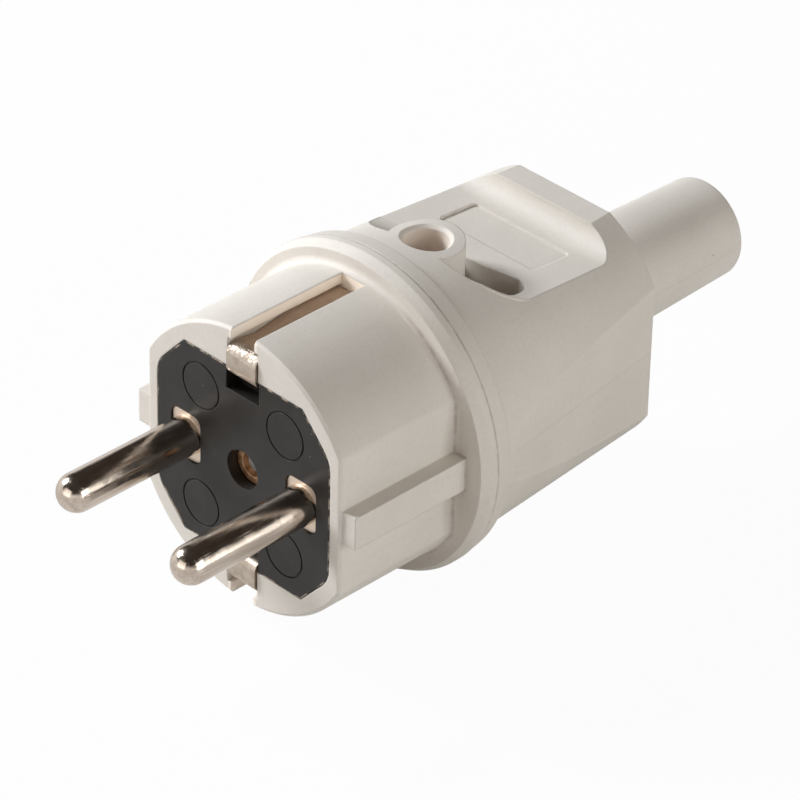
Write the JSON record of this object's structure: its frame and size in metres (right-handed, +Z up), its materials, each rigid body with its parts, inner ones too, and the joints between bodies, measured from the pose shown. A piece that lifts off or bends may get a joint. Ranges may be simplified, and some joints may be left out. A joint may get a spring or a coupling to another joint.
{
  "type": "mains plug",
  "caption": "Straight rewireable mains plug with round contact pins, grooved nose with spring earth strip, screw-held hood with a thumb scoop, and a tapered cable sleeve.",
  "frame": {"origin": "middle of the contact face, half way between the two pins", "axes": "+X to the right, +Y backwards along the plug towards the cable, +Z up; the pins point to -Y"},
  "size_m": [0.0416, 0.0964, 0.0416],
  "materials": {
    "white_plastic": "off-white satin moulding",
    "hood_plastic": "off-white satin moulding",
    "sleeve_plastic": "off-white soft plastic",
    "black_plastic": "black satin moulding",
    "nickel_pin": "nickel plated",
    "earth_strip": "nickel plated spring strip",
    "brass_bush": "plain brass",
    "steel_screw": "zinc plated"
  },
  "bodies": {
    "root": {"front_housing": "white_plastic", "rear_hood": "hood_plastic", "kink_sleeve": "sleeve_plastic", "contact_plate": "black_plastic", "pin_left": "nickel_pin", "pin_right": "nickel_pin", "earth_bracket": "earth_strip", "centre_bush": "brass_bush", "centre_screw": "steel_screw", "terminal_screws": "steel_screw", "terminal_clamp_left": "steel_screw", "terminal_clamp_right": "steel_screw", "terminal_clamp_earth": "steel_screw", "earth_nut": "steel_screw", "hood_screw": "steel_screw", "hood_nut": "steel_screw", "cord_grip_bar": "white_plastic", "cord_grip_screws": "steel_screw", "cord_grip_nuts": "steel_screw"}
  },
  "joints": []
}
